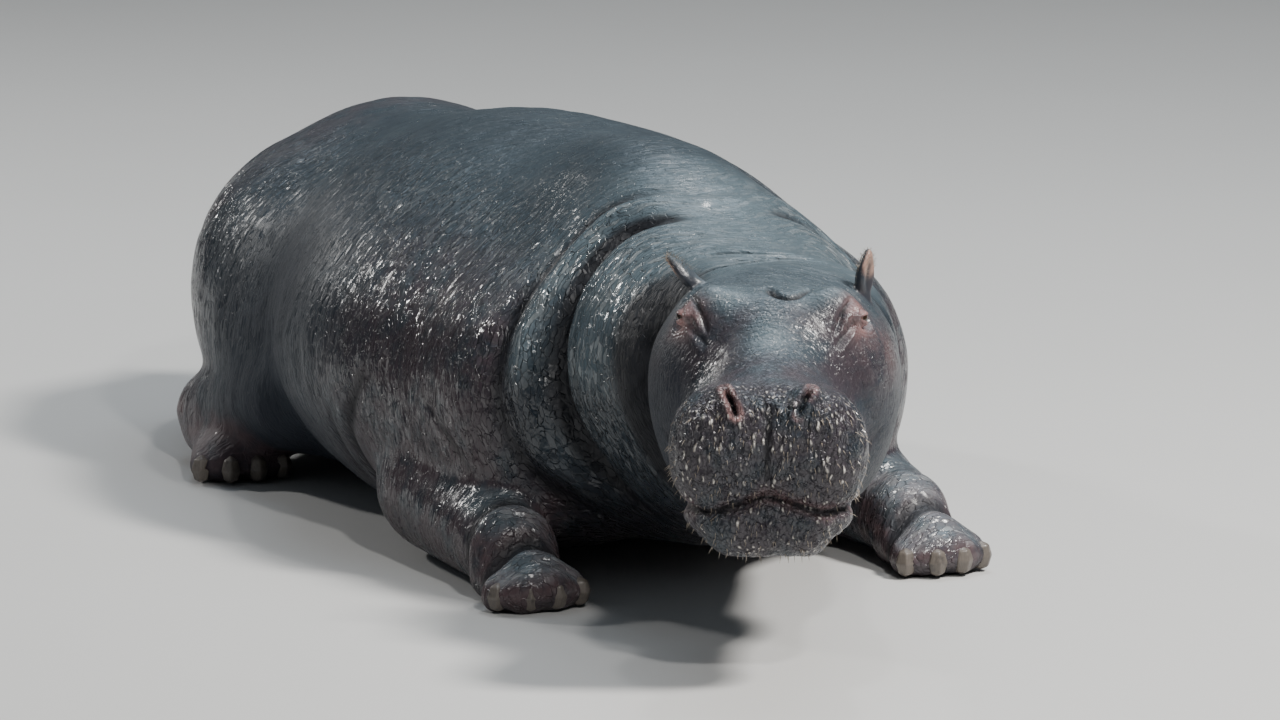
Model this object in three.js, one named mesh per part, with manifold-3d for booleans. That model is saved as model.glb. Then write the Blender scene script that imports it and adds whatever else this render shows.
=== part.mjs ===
// A cow hippopotamus at life size, lying on her belly with her chin low and her head turned
// to her right. Millimetres, +X towards the front of the trunk, +Y to the animal's left, +Z up,
// floor at Z = 0, origin under the middle of the whole animal.
//
// Each part of the body is a loft: rings of rays leave a guide line and end where they meet the
// flesh, which is a smooth blend of rounded forms. Neighbours along the spine share their ring,
// so trunk, neck and head run on without a step. Limbs are cut to the trunk that they lie on.

import * as THREE from "three";
import { mergeVertices } from "three/addons/utils/BufferGeometryUtils.js";
import Module from "manifold-3d";

// ---- driving dimensions -----------------------------------------------------------------

const GAP = 0.3; // between neighbouring pieces
const FLOOR = 0;

const HIP_HEIGHT = 821; // floor to the top of the hips, lying
const WITHERS_HEIGHT = 957;
const BELLY_HALF_WIDTH = 684;
const SHOULDER_HALF_WIDTH = 572;
const RUMP_END = -1485; // X of the rearmost flesh, without the tail
const NECK_START = 905; // X where the neck leaves the trunk

const HEAD_AT = new THREE.Vector3(1562, -180, 720); // midway between the eyes
const HEAD_YAW = -25; // degrees, negative to the animal's right
const HEAD_BACK = -215; // where the head is parted from the neck, along the head
const HEAD_AXIS = -165; // height of the head's guide line

const EYE = { x: 18, z: 12, radius: 22, showing: 7 };
const EAR = { x: -138, height: 112, width: 78, depth: 46, wall: 9 };
const EAR_POSE = {
  right: { y: 160, z: 44, lean: 44, facing: 104 }, // lean: degrees outwards, facing: degrees from ahead
  left: { y: 192, z: 30, lean: 7, facing: 62 },
};
const NOSTRIL = { x: 425, y: 78, z: -76 };

const ELBOW = { x: 320, y: 455, height: 152, radius: 150 };
const WRIST = { reach: 475, height: 100, radius: 100 }; // ahead of the elbow
const HOCK = { x: -905, y: 535, height: 122, radius: 96 };
const KNEE = { reach: 400, inwards: 125, height: 225, radius: 140 }; // ahead of the hock
const FORE_TURN = 3; // degrees that a forearm points outwards
const HIND_TURN = 9;
const FORE_FOOT_LENGTH = 245;
const HIND_FOOT_LENGTH = 345;
const FOOT_HALF_WIDTH = 116;
const TOES = 4;

const wasm = await Module();
wasm.setup();

// ---- rounded forms: each gives a signed distance, negative inside ---------------------------

const vec = (x, y, z) => new THREE.Vector3(x, y, z);
const scratch = vec(0, 0, 0);

function ellipsoid(centre, radii, turn = null) {
  const back = turn ? turn.clone().invert() : null;
  return (p) => {
    const q = scratch.copy(p).sub(centre);
    if (back) q.applyQuaternion(back);
    const near = Math.hypot(q.x / radii.x, q.y / radii.y, q.z / radii.z);
    const slope = Math.hypot(q.x / radii.x ** 2, q.y / radii.y ** 2, q.z / radii.z ** 2);
    return slope < 1e-9 ? -Math.min(radii.x, radii.y, radii.z) : (near * (near - 1)) / slope;
  };
}

// A straight limb that tapers from one radius to another, stretched along the axes by stretch.
function limb(from, to, r0, r1, stretch = vec(1, 1, 1)) {
  const a = from.clone().divide(stretch);
  const along = to.clone().divide(stretch).sub(a);
  const size = along.lengthSq();
  return (p) => {
    const q = scratch.copy(p).divide(stretch).sub(a);
    const t = THREE.MathUtils.clamp(q.dot(along) / size, 0, 1);
    return q.addScaledVector(along, -t).length() - THREE.MathUtils.lerp(r0, r1, t);
  };
}

function roundedBox(centre, half, round) {
  return (p) => {
    const x = Math.abs(p.x - centre.x) - half.x + round;
    const y = Math.abs(p.y - centre.y) - half.y + round;
    const z = Math.abs(p.z - centre.z) - half.z + round;
    const outside = Math.hypot(Math.max(x, 0), Math.max(y, 0), Math.max(z, 0));
    return outside + Math.min(Math.max(x, y, z), 0) - round;
  };
}

const smoothMin = (a, b, k) => {
  const h = Math.max(k - Math.abs(a - b), 0) / k;
  return Math.min(a, b) - (h * h * k) / 4;
};
const blend = (k, ...forms) => (p) => forms.map((f) => f(p)).reduce((a, b) => smoothMin(a, b, k));
const above = (height, k, body) => (p) => -smoothMin(-body(p), p.z - height, k);
const grown = (field, by = GAP) => (p) => field(p) - by;

// The same form on the animal's left and right.
function pair(form) {
  const q = vec(0, 0, 0);
  return (p) => form(q.set(p.x, Math.abs(p.y), p.z));
}

// ---- the head's own frame: x to the nose, y to the left, z up, eyes at 0 ---------------------

const headTurn = new THREE.Matrix4()
  .makeRotationZ(THREE.MathUtils.degToRad(HEAD_YAW))
  .setPosition(HEAD_AT);
const headBack = headTurn.clone().invert();
const headForward = vec(1, 0, 0).transformDirection(headTurn);
const inHead = (x, y, z) => vec(x, y, z).applyMatrix4(headTurn);
function headForm(form) {
  const q = vec(0, 0, 0);
  return (p) => form(q.copy(p).applyMatrix4(headBack));
}

// ---- flesh -----------------------------------------------------------------------------------

function trunkFlesh() {
  const barrel = ellipsoid(vec(-110, 0, 422), vec(1000, 571, 483));
  const belly = ellipsoid(vec(-15, 0, 405), vec(690, BELLY_HALF_WIDTH, 435));
  const hips = ellipsoid(vec(-880, 0, 440), vec(600, 365, HIP_HEIGHT - 440));
  const rump = ellipsoid(vec(RUMP_END + 455, 0, 412), vec(455, 470, 372));
  const haunches = pair(ellipsoid(vec(-800, 268, 365), vec(430, 328, 358)));
  const thighs = pair(limb(vec(-900, 300, 440), vec(-570, 428, 235), 255, 178));
  const buttocks = pair(ellipsoid(vec(RUMP_END + 345, 222, 365), vec(325, 240, 318)));
  const withers = ellipsoid(vec(480, 0, 530), vec(530, 325, WITHERS_HEIGHT - 530));
  const shoulders = pair(ellipsoid(vec(575, SHOULDER_HALF_WIDTH - 310, 388), vec(265, 310, 357)));
  const arms = pair(limb(vec(560, 330, 420), vec(ELBOW.x + 20, 405, 195), 205, 145));
  const neck = limb(vec(760, 0, 525), inHead(HEAD_BACK - 40, 0, -172), 340, 238, vec(1, 1.14, 1));
  const throat = limb(vec(800, 0, 300), inHead(HEAD_BACK + 60, 0, -285), 235, 150, vec(1, 1.1, 1));
  const nape = ellipsoid(inHead(-300, 98, -70), vec(130, 158, 152));
  const rear = blend(80, hips, rump, haunches, thighs, buttocks);
  const front = blend(90, withers, shoulders, arms, neck, nape, throat);
  return blend(90, blend(100, barrel, belly), rear, front);
}

function headFlesh() {
  const cranium = ellipsoid(vec(-115, 0, -105), vec(215, 222, 178));
  const brow = ellipsoid(vec(-40, 0, -6), vec(130, 145, 42));
  const bridge = limb(vec(20, 0, -78), vec(340, 0, -166), 108, 92, vec(1, 1.25, 1));
  const muzzle = roundedBox(vec(366, 0, -190), vec(118, 202, 116), 92);
  const lipBulbs = pair(ellipsoid(vec(362, 142, -222), vec(108, 68, 108)));
  const nostrils = pair(ellipsoid(vec(NOSTRIL.x - 12, NOSTRIL.y, NOSTRIL.z - 26), vec(62, 44, 46)));
  const flews = pair(ellipsoid(vec(210, 112, -232), vec(190, 84, 106)));
  const cheeks = pair(ellipsoid(vec(-90, 154, -140), vec(192, 116, 150)));
  const jowls = pair(ellipsoid(vec(-95, 130, -266), vec(180, 114, 152)));
  const orbits = pair(ellipsoid(vec(4, 134, 12), vec(62, 60, 68)));
  const temples = pair(limb(vec(-15, 122, 6), vec(-140, 146, 10), 48, 48));
  const skull = blend(80, cranium, brow, bridge, cheeks, jowls);
  const face = blend(64, skull, muzzle, flews);
  return headForm(blend(30, face, lipBulbs, nostrils, orbits, temples));
}

function jawFlesh() {
  const chin = roundedBox(vec(348, 0, -348), vec(102, 176, 92), 80);
  const rami = pair(limb(vec(300, 92, -340), vec(-40, 118, -300), 76, 84, vec(1, 1, 1.2)));
  const throat = ellipsoid(vec(100, 0, -345), vec(240, 130, 92));
  return headForm(blend(50, chin, rami, throat));
}

const bodyFlesh = above(FLOOR, 30, blend(90, trunkFlesh(), headFlesh()));

// ---- lofting -----------------------------------------------------------------------------------

const RAY_STEP = 14;
const RAY_LIMIT = 1500;

// How far along a ray the flesh ends.
function reach(field, origin, direction) {
  const at = vec(0, 0, 0);
  const inside = (t) => field(at.copy(origin).addScaledVector(direction, t)) < 0;
  let near = 0;
  while (inside(near + RAY_STEP) && near < RAY_LIMIT) near += RAY_STEP;
  let far = near + RAY_STEP;
  for (let i = 0; i < 16; i += 1) {
    const middle = (near + far) / 2;
    if (inside(middle)) near = middle;
    else far = middle;
  }
  return near;
}

// A station is a point on the guide with its forward direction. cone is the angle between
// forward and the rays: 90 for a flat ring, less for a rounded front, more for a rounded rear.
const station = (at, forward, cone = 90) => ({ at, forward: forward.clone().normalize(), cone });

function ring(field, { at, forward, cone }, around) {
  const side = vec(0, 1, 0).addScaledVector(forward, -forward.y).normalize();
  const up = forward.clone().cross(side);
  const lean = THREE.MathUtils.degToRad(cone);
  return Array.from({ length: around }, (_, i) => {
    const turn = (2 * Math.PI * i) / around;
    const ray = side
      .clone()
      .multiplyScalar(Math.cos(turn))
      .addScaledVector(up, Math.sin(turn))
      .multiplyScalar(Math.sin(lean))
      .addScaledVector(forward, Math.cos(lean));
    return at.clone().addScaledVector(ray, reach(field, at, ray));
  });
}

// Closed surface through the rings, first to last along forward. A flat end closes at its
// station's own point, a rounded one where the ray straight ahead or behind leaves the flesh.
function loft(field, stations, around) {
  const rings = stations.map((s) => ring(field, s, around));
  const tip = (s, sign) => {
    if (s.cone === 90) return s.at.clone();
    const ray = s.forward.clone().multiplyScalar(sign);
    return s.at.clone().addScaledVector(ray, reach(field, s.at, ray));
  };
  const points = [tip(stations[0], -1), ...rings.flat(), tip(stations.at(-1), 1)];
  const last = points.length - 1;
  const index = [];
  const vertex = (r, i) => 1 + r * around + (i % around);
  for (let i = 0; i < around; i += 1) {
    index.push(0, vertex(0, i + 1), vertex(0, i));
    for (let r = 0; r + 1 < rings.length; r += 1) {
      const [a, b] = [vertex(r, i), vertex(r, i + 1)];
      const [c, d] = [vertex(r + 1, i), vertex(r + 1, i + 1)];
      index.push(a, b, d, a, d, c);
    }
    index.push(last, vertex(rings.length - 1, i), vertex(rings.length - 1, i + 1));
  }
  return new THREE.BufferGeometry().setFromPoints(points).setIndex(index);
}

const range = (from, to, count) =>
  Array.from({ length: count }, (_, i) => THREE.MathUtils.lerp(from, to, i / (count - 1)));

// A loft along the line from one point to another, its rings square to forward. Cones round the ends.
function straightLoft(field, from, to, { rings, around, rearCones = [], frontCones = [], forward = null }) {
  const ahead = forward ?? to.clone().sub(from);
  return loft(
    field,
    [
      ...rearCones.map((cone) => station(from, ahead, cone)),
      ...range(0, 1, rings).map((t) => station(from.clone().lerp(to, t), ahead)),
      ...frontCones.map((cone) => station(to, ahead, cone)),
    ],
    around,
  );
}

// ---- joins and cuts ----------------------------------------------------------------------------

function solid(geometry) {
  const bare = geometry.clone().deleteAttribute("normal").deleteAttribute("uv");
  const merged = mergeVertices(bare, 1e-3);
  return new wasm.Manifold(
    new wasm.Mesh({
      numProp: 3,
      vertProperties: new Float32Array(merged.attributes.position.array),
      triVerts: new Uint32Array(merged.index.array),
    }),
  );
}

function geometryOf(manifold) {
  const mesh = manifold.getMesh();
  return new THREE.BufferGeometry()
    .setAttribute("position", new THREE.BufferAttribute(mesh.vertProperties, 3))
    .setIndex(new THREE.BufferAttribute(mesh.triVerts, 1));
}

const cut = (geometry, ...cutters) =>
  geometryOf(cutters.reduce((body, cutter) => body.subtract(cutter), solid(geometry)));

// The shape with each point moved out along its normal by the gap.
function swollen(geometry) {
  const bare = mergeVertices(geometry.clone().deleteAttribute("normal").deleteAttribute("uv"), 1e-3);
  bare.computeVertexNormals();
  const [place, normal] = [bare.getAttribute("position"), bare.getAttribute("normal")];
  for (let i = 0; i < place.count; i += 1) {
    const point = vec().fromBufferAttribute(place, i);
    point.addScaledVector(vec().fromBufferAttribute(normal, i), GAP * 1.2);
    place.setXYZ(i, point.x, point.y, point.z);
  }
  return bare;
}

// ---- the spine: trunk, neck and head -------------------------------------------------------------

const TRUNK_SIDES = 30;
const HEAD_SIDES = 36;
const TRUNK_BACK = vec(RUMP_END + 320, 0, 405);
const headStart = inHead(HEAD_BACK, 0, HEAD_AXIS);

const spine = new THREE.CatmullRomCurve3([
  TRUNK_BACK,
  vec(-600, 0, 415),
  vec(0, 0, 430),
  vec(500, 0, 450),
  vec(NECK_START, 0, 500),
  vec(1140, -25, 530),
  headStart,
  inHead(0, 0, HEAD_AXIS),
]);

function spineStations(fromX, toX, count) {
  const samples = range(0, 1, 401).map((share) => ({ share, x: spine.getPointAt(share).x }));
  const shareAt = (x) => samples.find((s) => s.x >= x).share;
  return range(shareAt(fromX), shareAt(toX), count).map((share) =>
    station(spine.getPointAt(share), spine.getTangentAt(share)),
  );
}

const shifted = (s, distance) => ({ ...s, at: s.at.clone().addScaledVector(s.forward, distance) });

function trunk(field = bodyFlesh) {
  const rear = [163, 145, 129, 114, 101].map((cone) => station(TRUNK_BACK, vec(1, 0, 0), cone));
  const stations = spineStations(TRUNK_BACK.x + 40, NECK_START, 17);
  stations.push(shifted(stations.pop(), -GAP / 2));
  return loft(field, [...rear, ...stations], TRUNK_SIDES);
}

function neck() {
  const stations = spineStations(NECK_START, headStart.x, 6);
  stations[0] = shifted(stations[0], GAP / 2);
  stations[5] = shifted(station(headStart, headForward), -GAP / 2);
  return loft(bodyFlesh, stations, HEAD_SIDES);
}

// Rings along the head, closer where the orbits are, up to where they start to fan out to the nose.
const HEAD_RINGS = [-170, -130, -98, -72, -42, -18, 6, 30, 52, 76, 102, 132, 166, 204, 242, 280];
const HEAD_TURN_POINT = 315;
function head(field = bodyFlesh) {
  const at = (x) => inHead(x, 0, HEAD_AXIS - 15 * THREE.MathUtils.smoothstep(x, 0, HEAD_TURN_POINT));
  const places = [HEAD_BACK + GAP / 2, ...HEAD_RINGS, HEAD_TURN_POINT];
  const rings = places.map((x) => station(at(x), headForward));
  const front = [79, 68, 57, 46, 34, 19].map((cone) =>
    station(at(HEAD_TURN_POINT), headForward, cone),
  );
  return loft(field, [...rings, ...front], HEAD_SIDES);
}

function lowerJaw() {
  return straightLoft(jawFlesh(), inHead(-20, 0, -355), inHead(325, 0, -355), {
    rings: 6,
    around: 16,
    rearCones: [140],
    frontCones: [68, 46, 22],
  });
}

// ---- ears and eyes ---------------------------------------------------------------------------------

// Each eyeball stands out of the flesh beside it by a fixed amount.
function eyeAt(side) {
  const outwards = inHead(0, side, 0).sub(HEAD_AT);
  const depth = reach(bodyFlesh, inHead(EYE.x, 0, EYE.z), outwards) - EYE.radius + EYE.showing;
  return inHead(EYE.x, side * depth, EYE.z);
}

const eyeBall = (side, radius) =>
  new THREE.SphereGeometry(radius, 10, 7).rotateX(Math.PI / 2).translate(...eyeAt(side).toArray());

// A cupped leaf on a short stalk, open to its own +X, growing along +Z.
function earShell() {
  const leaf = (shrink) => {
    const shape = new THREE.SphereGeometry(1, 10, 7).rotateX(Math.PI / 2);
    const place = shape.getAttribute("position");
    for (let i = 0; i < place.count; i += 1) {
      const rise = (place.getZ(i) + 1) / 2;
      const taper = 1 - 0.58 * rise ** 1.5;
      place.setXYZ(
        i,
        place.getX(i) * (EAR.depth / 2 - shrink) * (1 - 0.3 * rise),
        place.getY(i) * (EAR.width / 2 - shrink) * taper,
        rise * (EAR.height - 2 * shrink) + shrink,
      );
    }
    return shape;
  };
  const stalk = new THREE.CylinderGeometry(15, 34, 70, 8).rotateX(Math.PI / 2).translate(-3, 0, -2);
  const hollow = leaf(EAR.wall).translate(EAR.depth * 0.36, 0, 6);
  return solid(leaf(0)).add(solid(stalk)).subtract(solid(hollow));
}

function ear(side, pose) {
  const lean = THREE.MathUtils.degToRad(pose.lean);
  const facing = THREE.MathUtils.degToRad(pose.facing);
  const place = new THREE.Matrix4()
    .makeRotationX(-side * lean)
    .multiply(new THREE.Matrix4().makeRotationZ(side * facing))
    .setPosition(EAR.x, side * pose.y, pose.z);
  return geometryOf(earShell()).applyMatrix4(place).applyMatrix4(headTurn);
}

// ---- legs: each built along +X from its elbow or hock, the left one, then put in place ------------

const FORWARD = vec(1, 0, 0);

function forearm() {
  const [elbow, wrist] = [vec(0, 0, ELBOW.height), vec(WRIST.reach - GAP / 2, 0, WRIST.height)];
  const flesh = above(FLOOR, 16, limb(elbow, wrist, ELBOW.radius, WRIST.radius));
  return straightLoft(flesh, elbow, wrist, { rings: 5, around: 16, rearCones: [148, 118], forward: FORWARD });
}

function shank() {
  const [hock, knee] = [vec(0, 0, HOCK.height), vec(KNEE.reach, -KNEE.inwards, KNEE.height)];
  const flesh = above(FLOOR, 16, limb(hock, knee, HOCK.radius, KNEE.radius));
  return straightLoft(flesh, hock, knee, { rings: 4, around: 14, rearCones: [146, 114], frontCones: [64, 32] });
}

// Toes fan out over the front of a foot.
function toePlaces(length) {
  return range(-1, 1, TOES).map((share) => ({
    x: length - 42 - 30 * share ** 2,
    y: share * (FOOT_HALF_WIDTH - 32),
    turn: share * 0.4,
  }));
}

const turned = (angle) => new THREE.Quaternion().setFromAxisAngle(vec(0, 0, 1), angle);

function footFlesh(length, heel) {
  const ankle = limb(heel, vec(length - 105, 0, 60), heel.z, 68);
  const pad = ellipsoid(vec(length - 120, 0, 40), vec(118, FOOT_HALF_WIDTH - 10, 60));
  const toes = toePlaces(length).map(({ x, y, turn }) =>
    ellipsoid(vec(x - 16, y, 38), vec(62, 34, 44), turned(turn)),
  );
  return above(FLOOR, 10, blend(22, blend(46, ankle, pad), ...toes));
}

function foreFoot(grow = 0) {
  const flesh = grown(footFlesh(FORE_FOOT_LENGTH, vec(0, 0, WRIST.height)), grow);
  return straightLoft(flesh, vec(GAP / 2, 0, 90), vec(FORE_FOOT_LENGTH - 120, 0, 40), {
    rings: 3,
    around: 22,
    frontCones: [70, 50, 30],
    forward: FORWARD,
  }).translate(WRIST.reach, 0, 0);
}

function hindFoot(grow = 0) {
  const flesh = grown(footFlesh(HIND_FOOT_LENGTH, vec(0, 0, 86)), grow);
  return straightLoft(flesh, vec(0, 0, 80), vec(HIND_FOOT_LENGTH - 120, 0, 40), {
    rings: 3,
    around: 22,
    rearCones: [136],
    frontCones: [70, 50, 30],
    forward: FORWARD,
  });
}

const nail = (toe) =>
  new THREE.SphereGeometry(1, 6, 4)
    .rotateX(Math.PI / 2)
    .scale(26, 26, 34)
    .rotateZ(toe.turn)
    .translate(toe.x + 31 * Math.cos(toe.turn), toe.y + 31 * Math.sin(toe.turn), 37);

// A left limb's piece moved to its joint, pointing outwards by turn degrees; mirrored for the right.
function placed(geometry, joint, turn, side) {
  const copy = geometry
    .clone()
    .rotateZ(THREE.MathUtils.degToRad(turn))
    .translate(joint.x, joint.y, 0);
  return side > 0 ? copy : mirrored(copy);
}

function mirrored(geometry) {
  const flipped = geometry.clone().scale(1, -1, 1);
  const index = flipped.index.array;
  for (let i = 0; i < index.length; i += 3) [index[i + 1], index[i + 2]] = [index[i + 2], index[i + 1]];
  return flipped;
}

// ---- tail ------------------------------------------------------------------------------------------------

function tail() {
  const curve = new THREE.CatmullRomCurve3([
    vec(RUMP_END + 165, 0, 600),
    vec(RUMP_END + 35, 0, 590),
    vec(RUMP_END - 44, 0, 470),
    vec(RUMP_END - 52, 0, 285),
  ]);
  const width = (t) => THREE.MathUtils.lerp(60, 22, t ** 0.7);
  const beads = range(0, 1, 12).map((t) =>
    ellipsoid(curve.getPointAt(t), vec(width(t) * 0.8, width(t), width(t) * 1.3)),
  );
  const flesh = blend(30, ...beads);
  const stations = range(0.04, 0.94, 7).map((t) => station(curve.getPointAt(t), curve.getTangentAt(t)));
  return loft(flesh, [...stations, ...[60, 30].map((cone) => ({ ...stations.at(-1), cone }))], 10);
}

// ---- assembly --------------------------------------------------------------------------------------------

const material = (color, roughness) => new THREE.MeshStandardMaterial({ color, roughness, metalness: 0 });
const HIDE = material(0x55585d, 0.5);
const EAR_HIDE = material(0x7c625f, 0.55);
const NAIL = material(0x4a433c, 0.45);
const EYE_DARK = material(0x2a1d14, 0.1);

const root = new THREE.Group();
const add = (name, geometry, finish = HIDE) => {
  const mesh = new THREE.Mesh(geometry, finish);
  mesh.name = name;
  root.add(mesh);
};

const trunkCutter = solid(trunk(grown(bodyFlesh)));
const neckCutter = solid(neck());
const headCutter = solid(head(grown(bodyFlesh)));
const SIDES = { right: -1, left: 1 };

add("trunk", trunk());
add("neck", neck());
add("head", cut(head(), ...Object.values(SIDES).map((side) => solid(eyeBall(side, EYE.radius + GAP)))));
add("lower_jaw", cut(lowerJaw(), headCutter, neckCutter));
add("tail", cut(tail(), trunkCutter));

const foreNails = toePlaces(FORE_FOOT_LENGTH).map((toe) => nail(toe).translate(WRIST.reach, 0, 0));
const hindNails = toePlaces(HIND_FOOT_LENGTH).map(nail);
const limbs = {
  fore: { leg: forearm(), foot: foreFoot, nails: foreNails, joint: ELBOW, turn: FORE_TURN },
  hind: { leg: shank(), foot: hindFoot, nails: hindNails, joint: HOCK, turn: HIND_TURN },
};

for (const [name, side] of Object.entries(SIDES)) {
  add(`eye_${name}`, eyeBall(side, EYE.radius), EYE_DARK);
  add(`ear_${name}`, cut(ear(side, EAR_POSE[name]), headCutter, neckCutter), EAR_HIDE);
  for (const [which, { leg, foot, nails, joint, turn }] of Object.entries(limbs)) {
    const put = (geometry) => placed(geometry, joint, turn, side);
    const legShape = cut(put(leg), trunkCutter);
    const footCutter = solid(put(foot(GAP)));
    add(`${which}_leg_${name}`, legShape);
    add(`${which}_foot_${name}`, cut(put(foot()), trunkCutter, solid(swollen(put(leg)))));
    nails.forEach((shape, i) => add(`${which}_nail_${name}_${i + 1}`, cut(put(shape), footCutter), NAIL));
  }
}

// Origin on the floor under the middle of the whole animal.
const whole = new THREE.Box3().setFromObject(root);
const middle = whole.getCenter(vec(0, 0, 0));
for (const mesh of root.children) mesh.geometry.translate(-middle.x, -middle.y, -whole.min.z);

export default root;
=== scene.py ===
import math

import bmesh
import bpy
import numpy as np
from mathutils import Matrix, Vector


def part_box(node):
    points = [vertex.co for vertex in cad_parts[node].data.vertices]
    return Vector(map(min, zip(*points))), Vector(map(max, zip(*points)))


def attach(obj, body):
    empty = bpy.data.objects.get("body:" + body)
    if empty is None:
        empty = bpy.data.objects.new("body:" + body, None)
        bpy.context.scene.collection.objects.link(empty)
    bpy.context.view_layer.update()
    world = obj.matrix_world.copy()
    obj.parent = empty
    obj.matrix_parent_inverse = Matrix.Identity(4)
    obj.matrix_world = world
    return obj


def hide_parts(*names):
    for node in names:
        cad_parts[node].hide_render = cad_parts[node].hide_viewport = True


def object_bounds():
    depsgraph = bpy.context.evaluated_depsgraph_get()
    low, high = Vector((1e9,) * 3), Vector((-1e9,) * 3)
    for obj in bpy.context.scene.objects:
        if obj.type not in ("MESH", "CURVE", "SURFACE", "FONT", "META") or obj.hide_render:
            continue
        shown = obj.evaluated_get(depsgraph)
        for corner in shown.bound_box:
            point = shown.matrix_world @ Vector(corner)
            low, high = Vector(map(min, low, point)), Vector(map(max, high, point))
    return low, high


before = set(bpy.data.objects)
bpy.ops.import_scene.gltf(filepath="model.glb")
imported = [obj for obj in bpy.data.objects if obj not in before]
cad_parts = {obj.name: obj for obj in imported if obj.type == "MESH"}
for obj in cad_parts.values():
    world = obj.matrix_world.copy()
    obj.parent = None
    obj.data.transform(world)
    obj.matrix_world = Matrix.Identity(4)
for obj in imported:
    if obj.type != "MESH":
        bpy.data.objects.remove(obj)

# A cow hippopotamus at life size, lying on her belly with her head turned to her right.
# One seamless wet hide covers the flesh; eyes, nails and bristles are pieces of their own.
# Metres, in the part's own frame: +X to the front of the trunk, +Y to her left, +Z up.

cad_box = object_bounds()

SIDES = {"right": -1, "left": 1}
LEGS = [f"{which}_{part}_{side}" for which in ("fore", "hind") for part in ("leg", "foot") for side in SIDES]
CORE = ["trunk", "neck", "head", "lower_jaw", "tail"]
EARS = [f"ear_{side}" for side in SIDES]
EYES = [f"eye_{side}" for side in SIDES]

ROUGH_CELL = 0.012  # first, coarse skin
FINE_CELL = 0.0046  # skin that is sculpted
HEAD_START = -0.42  # along the head: the skin is finer from here on
BODY_TRIANGLES = 67_000  # of the skin behind that
HEAD_TRIANGLES = 87_000  # before the lids and nostrils are refined


# ---- working on pieces -----------------------------------------------------------------------

def only(*pieces):
    bpy.ops.object.select_all(action="DESELECT")
    for piece in pieces:
        piece.select_set(True)
    bpy.context.view_layer.objects.active = pieces[0]


def join(*pieces):
    only(*pieces)
    bpy.ops.object.join()
    return pieces[0]


def copy_of(name, nodes):
    """A new piece with the shapes of some of the frame's nodes, their doubles merged."""
    copies = []
    for node in nodes:
        copy = bpy.data.objects.new(name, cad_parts[node].data.copy())
        copy.data.materials.clear()
        bpy.context.scene.collection.objects.link(copy)
        copies.append(copy)
    piece = join(*copies)
    bpy.ops.object.mode_set(mode="EDIT")
    bpy.ops.mesh.select_all(action="SELECT")
    bpy.ops.mesh.remove_doubles(threshold=1e-5)
    bpy.ops.object.mode_set(mode="OBJECT")
    return piece


def worked(piece, kind, **settings):
    """The piece with one modifier applied."""
    only(piece)
    modifier = piece.modifiers.new("step", kind)
    for key, value in settings.items():
        setattr(modifier, key, value)
    bpy.ops.object.modifier_apply(modifier=modifier.name)
    return piece


def read(piece, what="co"):
    values = np.empty(len(piece.data.vertices) * 3, np.float32)
    piece.data.vertices.foreach_get(what, values)
    return values.reshape(-1, 3).astype(float)


def place(piece, points):
    piece.data.vertices.foreach_set("co", points.astype(np.float32).ravel())
    piece.data.update()


def relax(piece, share, times):
    """Evens out the surface: at each step a point moves by its share to the middle of its neighbours."""
    ends = np.empty(len(piece.data.edges) * 2, np.int32)
    piece.data.edges.foreach_get("vertices", ends)
    a, b = ends.reshape(-1, 2).T
    points = read(piece)
    size = len(points)
    neighbours = np.maximum(np.bincount(a, minlength=size) + np.bincount(b, minlength=size), 1)
    share = np.broadcast_to(share, size)[:, None]
    for _ in range(times):
        total = [
            np.bincount(a, points[b, k], size) + np.bincount(b, points[a, k], size) for k in range(3)
        ]
        points += share * (np.stack(total, 1) / neighbours[:, None] - points)
    place(piece, points)


def keep_largest(piece):
    """Drops loose bits, such as walls shut inside the flesh."""
    mesh = bmesh.new()
    mesh.from_mesh(piece.data)
    mesh.verts.ensure_lookup_table()
    seen, groups = set(), []
    for start in mesh.verts:
        if start.index in seen:
            continue
        seen.add(start.index)
        group, to_visit = [start], [start]
        while to_visit:
            vert = to_visit.pop()
            for edge in vert.link_edges:
                other = edge.other_vert(vert)
                if other.index not in seen:
                    seen.add(other.index)
                    group.append(other)
                    to_visit.append(other)
        groups.append(group)
    groups.sort(key=len)
    for group in groups[:-1]:
        bmesh.ops.delete(mesh, geom=group, context="VERTS")
    mesh.to_mesh(piece.data)
    mesh.free()


# ---- where things are ------------------------------------------------------------------------

def middle(node):
    low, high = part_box(node)
    return (low + high) / 2


eye_line = middle("eye_left") - middle("eye_right")
HEAD_LEFT = np.array(Vector((eye_line.x, eye_line.y, 0)).normalized())
HEAD_UP = np.array((0.0, 0.0, 1.0))
HEAD_FORWARD = np.cross(HEAD_LEFT, HEAD_UP)
EYE_AT = np.array((0.018, eye_line.length / 2, 0.012))  # the left eye, in the head's frame
EYE_RADIUS = (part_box("eye_left")[1].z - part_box("eye_left")[0].z) / 2
HEAD_AT = (
    np.array((middle("eye_left") + middle("eye_right")) / 2)
    - EYE_AT[0] * HEAD_FORWARD
    - EYE_AT[2] * HEAD_UP
)
HEAD_AXES = np.stack([HEAD_FORWARD, HEAD_LEFT, HEAD_UP])
SPINE_HEIGHT = 0.505


def in_head(points):
    """Points in the head's frame: x to the nose, y to her left, z up, 0 between the eyes."""
    return (points - HEAD_AT) @ HEAD_AXES.T


def from_head(points):
    return np.asarray(points) @ HEAD_AXES + HEAD_AT


def step(low, high, value):
    t = np.clip((value - low) / (high - low), 0, 1)
    return t * t * (3 - 2 * t)


def bell(distance, width):
    return np.exp(-((distance / width) ** 2))


def near_node(points, node, fade):
    """1 in the node's box, falling to 0 at a distance of fade from it."""
    low, high = (np.array(corner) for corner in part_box(node))
    outside = np.maximum(np.maximum(low - points, points - high), 0)
    return 1 - step(0, fade, np.linalg.norm(outside, axis=1))


def any_of(points, nodes, fade):
    return np.max([near_node(points, node, fade) for node in nodes], axis=0)


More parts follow.
